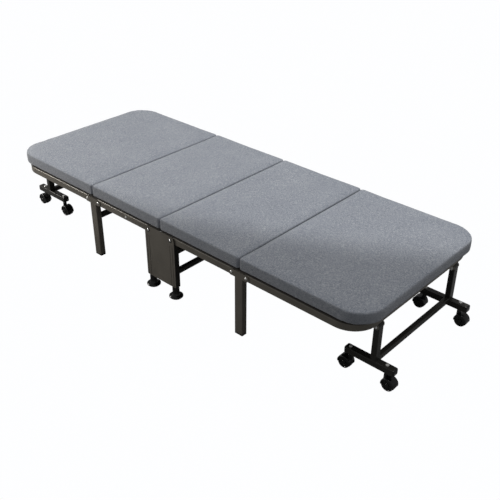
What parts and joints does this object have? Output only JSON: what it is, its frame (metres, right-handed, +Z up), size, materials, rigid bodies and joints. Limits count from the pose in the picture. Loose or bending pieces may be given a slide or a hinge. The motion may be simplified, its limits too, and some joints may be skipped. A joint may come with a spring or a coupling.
{
  "type": "folding cot",
  "caption": "Folding cot with four pads on a steel tube frame, a centre base with levelling feet, folding legs and a wheeled frame at each end.",
  "frame": {"origin": "on the floor, under the middle of the bed", "axes": "+X along the bed towards the foot end, +Y across the bed towards its left side, +Z up"},
  "size_m": [2.0226, 0.7746, 0.333],
  "materials": {
    "frame_paint": "satin",
    "dark_frame_paint": "satin",
    "bolts": "satin",
    "black_plastic": "satin",
    "board": "matte",
    "woven_cover": "matte"
  },
  "bodies": {
    "centre_frame": {"centre_side_plates": "frame_paint", "centre_posts": "dark_frame_paint", "centre_cross_tubes": "dark_frame_paint", "centre_pivot_brackets": "dark_frame_paint", "centre_pivot_bolts": "bolts"},
    "foot_right_leveller": {"foot_right_leveller": "black_plastic"},
    "foot_left_leveller": {"foot_left_leveller": "black_plastic"},
    "head_right_leveller": {"head_right_leveller": "black_plastic"},
    "head_left_leveller": {"head_left_leveller": "black_plastic"},
    "foot_inner_section": {"foot_inner_rails": "frame_paint", "foot_inner_cross_tubes": "dark_frame_paint", "foot_inner_board": "board", "foot_inner_pad": "woven_cover"},
    "foot_hinge_leg_pair": {"foot_hinge_legs": "frame_paint", "foot_hinge_leg_tube": "dark_frame_paint", "foot_hinge_leg_caps": "black_plastic", "foot_hinge_bolts": "bolts"},
    "foot_outer_section": {"foot_outer_hoop": "frame_paint", "foot_outer_cross_tubes": "dark_frame_paint", "foot_outer_board": "board", "foot_outer_pad": "woven_cover"},
    "foot_caster_frame": {"foot_caster_uprights": "dark_frame_paint", "foot_caster_bars": "dark_frame_paint", "foot_caster_tie_tube": "dark_frame_paint", "foot_caster_bar_caps": "black_plastic", "foot_caster_fasteners": "bolts"},
    "head_inner_section": {"head_inner_rails": "frame_paint", "head_inner_cross_tubes": "dark_frame_paint", "head_inner_board": "board", "head_inner_pad": "woven_cover", "head_inner_bolts": "bolts"},
    "head_hinge_leg_pair": {"head_hinge_legs": "frame_paint", "head_hinge_leg_tube": "dark_frame_paint", "head_hinge_leg_caps": "black_plastic", "head_hinge_bolts": "bolts"},
    "head_outer_section": {"head_outer_hoop": "frame_paint", "head_outer_cross_tubes": "dark_frame_paint", "head_outer_board": "board", "head_outer_pad": "woven_cover"},
    "head_caster_frame": {"head_caster_uprights": "dark_frame_paint", "head_caster_bars": "dark_frame_paint", "head_caster_tie_tube": "dark_frame_paint", "head_caster_bar_caps": "black_plastic", "head_caster_fasteners": "bolts"},
    "foot_right_outer_hood": {"foot_right_outer_hood": "black_plastic"},
    "foot_right_outer_wheels": {"foot_right_outer_wheels": "black_plastic"},
    "foot_right_inner_hood": {"foot_right_inner_hood": "black_plastic"},
    "foot_right_inner_wheels": {"foot_right_inner_wheels": "black_plastic"},
    "foot_left_outer_hood": {"foot_left_outer_hood": "black_plastic"},
    "foot_left_outer_wheels": {"foot_left_outer_wheels": "black_plastic"},
    "foot_left_inner_hood": {"foot_left_inner_hood": "black_plastic"},
    "foot_left_inner_wheels": {"foot_left_inner_wheels": "black_plastic"},
    "head_right_outer_hood": {"head_right_outer_hood": "black_plastic"},
    "head_right_outer_wheels": {"head_right_outer_wheels": "black_plastic"},
    "head_right_inner_hood": {"head_right_inner_hood": "black_plastic"},
    "head_right_inner_wheels": {"head_right_inner_wheels": "black_plastic"},
    "head_left_outer_hood": {"head_left_outer_hood": "black_plastic"},
    "head_left_outer_wheels": {"head_left_outer_wheels": "black_plastic"},
    "head_left_inner_hood": {"head_left_inner_hood": "black_plastic"},
    "head_left_inner_wheels": {"head_left_inner_wheels": "black_plastic"}
  },
  "joints": [
    {"name": "foot_right_leveller_height", "type": "slide", "parent": "centre_frame", "child": "foot_right_leveller", "axis": [0, 0, -1], "range_m": [0, 0.012]},
    {"name": "foot_left_leveller_height", "type": "slide", "parent": "centre_frame", "child": "foot_left_leveller", "axis": [0, 0, -1], "range_m": [0, 0.012]},
    {"name": "head_right_leveller_height", "type": "slide", "parent": "centre_frame", "child": "head_right_leveller", "axis": [0, 0, -1], "range_m": [0, 0.012]},
    {"name": "head_left_leveller_height", "type": "slide", "parent": "centre_frame", "child": "head_left_leveller", "axis": [0, 0, -1], "range_m": [0, 0.012]},
    {"name": "foot_inner_fold", "type": "hinge", "parent": "centre_frame", "child": "foot_inner_section", "pos_m": [0.062, 0, 0.261], "axis": [0, -1, 0], "range_deg": [0, 85], "deforming": ["foot_inner_pad"]},
    {"name": "foot_leg_fold", "type": "hinge", "parent": "foot_inner_section", "child": "foot_hinge_leg_pair", "pos_m": [0.378, 0, 0.261], "axis": [0, 1, 0], "range_deg": [0, 85]},
    {"name": "foot_outer_fold", "type": "hinge", "parent": "foot_hinge_leg_pair", "child": "foot_outer_section", "pos_m": [0.448, 0, 0.261], "axis": [0, 1, 0], "range_deg": [0, 85]},
    {"name": "foot_caster_frame_fold", "type": "hinge", "parent": "foot_outer_section", "child": "foot_caster_frame", "pos_m": [0.92, 0, 0.233], "axis": [0, -1, 0], "range_deg": [0, 85]},
    {"name": "head_inner_fold", "type": "hinge", "parent": "centre_frame", "child": "head_inner_section", "pos_m": [-0.062, 0, 0.261], "axis": [0, 1, 0], "range_deg": [0, 85], "deforming": ["head_inner_pad"]},
    {"name": "head_leg_fold", "type": "hinge", "parent": "head_inner_section", "child": "head_hinge_leg_pair", "pos_m": [-0.378, 0, 0.261], "axis": [0, -1, 0], "range_deg": [0, 85]},
    {"name": "head_outer_fold", "type": "hinge", "parent": "head_hinge_leg_pair", "child": "head_outer_section", "pos_m": [-0.448, 0, 0.261], "axis": [0, -1, 0], "range_deg": [0, 85]},
    {"name": "head_caster_frame_fold", "type": "hinge", "parent": "head_outer_section", "child": "head_caster_frame", "pos_m": [-0.92, 0, 0.233], "axis": [0, 1, 0], "range_deg": [0, 85]},
    {"name": "foot_right_outer_swivel", "type": "hinge", "parent": "foot_caster_frame", "child": "foot_right_outer_hood", "pos_m": [0.97, -0.244, 0.06], "axis": [0, 0, 1], "continuous": true},
    {"name": "foot_right_outer_roll", "type": "hinge", "parent": "foot_right_outer_hood", "child": "foot_right_outer_wheels", "pos_m": [0.985, -0.244, 0.0235], "axis": [0, 1, 0], "continuous": true},
    {"name": "foot_right_inner_swivel", "type": "hinge", "parent": "foot_caster_frame", "child": "foot_right_inner_hood", "pos_m": [0.822, -0.244, 0.06], "axis": [0, 0, 1], "continuous": true},
    {"name": "foot_right_inner_roll", "type": "hinge", "parent": "foot_right_inner_hood", "child": "foot_right_inner_wheels", "pos_m": [0.807, -0.244, 0.0235], "axis": [0, 1, 0], "continuous": true},
    {"name": "foot_left_outer_swivel", "type": "hinge", "parent": "foot_caster_frame", "child": "foot_left_outer_hood", "pos_m": [0.97, 0.244, 0.06], "axis": [0, 0, 1], "continuous": true},
    {"name": "foot_left_outer_roll", "type": "hinge", "parent": "foot_left_outer_hood", "child": "foot_left_outer_wheels", "pos_m": [0.985, 0.244, 0.0235], "axis": [0, 1, 0], "continuous": true},
    {"name": "foot_left_inner_swivel", "type": "hinge", "parent": "foot_caster_frame", "child": "foot_left_inner_hood", "pos_m": [0.822, 0.244, 0.06], "axis": [0, 0, 1], "continuous": true},
    {"name": "foot_left_inner_roll", "type": "hinge", "parent": "foot_left_inner_hood", "child": "foot_left_inner_wheels", "pos_m": [0.807, 0.244, 0.0235], "axis": [0, 1, 0], "continuous": true},
    {"name": "head_right_outer_swivel", "type": "hinge", "parent": "head_caster_frame", "child": "head_right_outer_hood", "pos_m": [-0.97, -0.244, 0.06], "axis": [0, 0, 1], "continuous": true},
    {"name": "head_right_outer_roll", "type": "hinge", "parent": "head_right_outer_hood", "child": "head_right_outer_wheels", "pos_m": [-0.985, -0.244, 0.0235], "axis": [0, 1, 0], "continuous": true},
    {"name": "head_right_inner_swivel", "type": "hinge", "parent": "head_caster_frame", "child": "head_right_inner_hood", "pos_m": [-0.822, -0.244, 0.06], "axis": [0, 0, 1], "continuous": true},
    {"name": "head_right_inner_roll", "type": "hinge", "parent": "head_right_inner_hood", "child": "head_right_inner_wheels", "pos_m": [-0.807, -0.244, 0.0235], "axis": [0, 1, 0], "continuous": true},
    {"name": "head_left_outer_swivel", "type": "hinge", "parent": "head_caster_frame", "child": "head_left_outer_hood", "pos_m": [-0.97, 0.244, 0.06], "axis": [0, 0, 1], "continuous": true},
    {"name": "head_left_outer_roll", "type": "hinge", "parent": "head_left_outer_hood", "child": "head_left_outer_wheels", "pos_m": [-0.985, 0.244, 0.0235], "axis": [0, 1, 0], "continuous": true},
    {"name": "head_left_inner_swivel", "type": "hinge", "parent": "head_caster_frame", "child": "head_left_inner_hood", "pos_m": [-0.822, 0.244, 0.06], "axis": [0, 0, 1], "continuous": true},
    {"name": "head_left_inner_roll", "type": "hinge", "parent": "head_left_inner_hood", "child": "head_left_inner_wheels", "pos_m": [-0.807, 0.244, 0.0235], "axis": [0, 1, 0], "continuous": true}
  ],
  "couplings": [
    {"joint": "foot_leg_fold", "follows": "foot_inner_fold", "ratio": 1},
    {"joint": "foot_outer_fold", "follows": "foot_inner_fold", "ratio": 1},
    {"joint": "foot_caster_frame_fold", "follows": "foot_inner_fold", "ratio": 1},
    {"joint": "head_inner_fold", "follows": "foot_inner_fold", "ratio": 1},
    {"joint": "head_leg_fold", "follows": "foot_inner_fold", "ratio": 1},
    {"joint": "head_outer_fold", "follows": "foot_inner_fold", "ratio": 1},
    {"joint": "head_caster_frame_fold", "follows": "foot_inner_fold", "ratio": 1}
  ]
}
